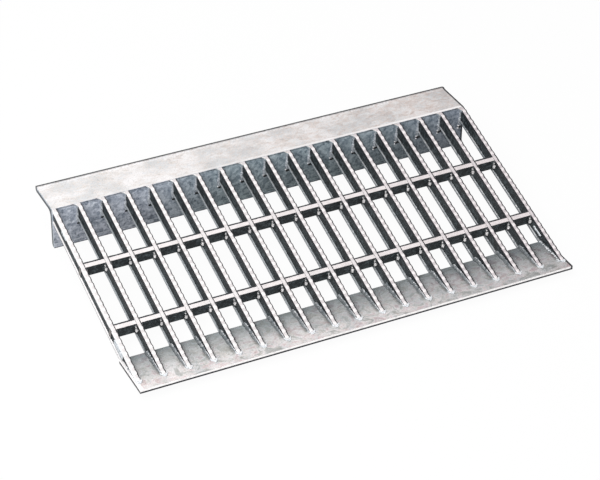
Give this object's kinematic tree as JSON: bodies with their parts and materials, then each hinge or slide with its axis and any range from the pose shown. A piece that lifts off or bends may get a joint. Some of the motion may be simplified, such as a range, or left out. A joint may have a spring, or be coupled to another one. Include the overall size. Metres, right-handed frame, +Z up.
{
  "type": "kerb ramp grating",
  "caption": "Welded steel kerb ramp: a sloping bar grating between an angle that hooks over the kerb and a flat toe plate that lies in the gutter.",
  "frame": {"origin": "on the floor, in the middle of the footprint of the ramp as it stands unheld", "axes": "+X along the kerb, +Y from the gutter towards the kerb, +Z up"},
  "size_m": [0.504, 0.2974, 0.0499],
  "materials": {
    "zinc": "hot-dip galvanised, matt"
  },
  "bodies": {
    "root": {"top_angle": "zinc", "bearing_bar_01": "zinc", "bearing_bar_02": "zinc", "bearing_bar_03": "zinc", "bearing_bar_04": "zinc", "bearing_bar_05": "zinc", "bearing_bar_06": "zinc", "bearing_bar_07": "zinc", "bearing_bar_08": "zinc", "bearing_bar_09": "zinc", "bearing_bar_10": "zinc", "bearing_bar_11": "zinc", "bearing_bar_12": "zinc", "bearing_bar_13": "zinc", "bearing_bar_14": "zinc", "bearing_bar_15": "zinc", "bearing_bar_16": "zinc", "bearing_bar_17": "zinc", "bearing_bar_18": "zinc", "bearing_bar_19": "zinc", "cross_bar_upper": "zinc", "cross_bar_lower": "zinc", "toe_plate": "zinc"}
  },
  "joints": []
}
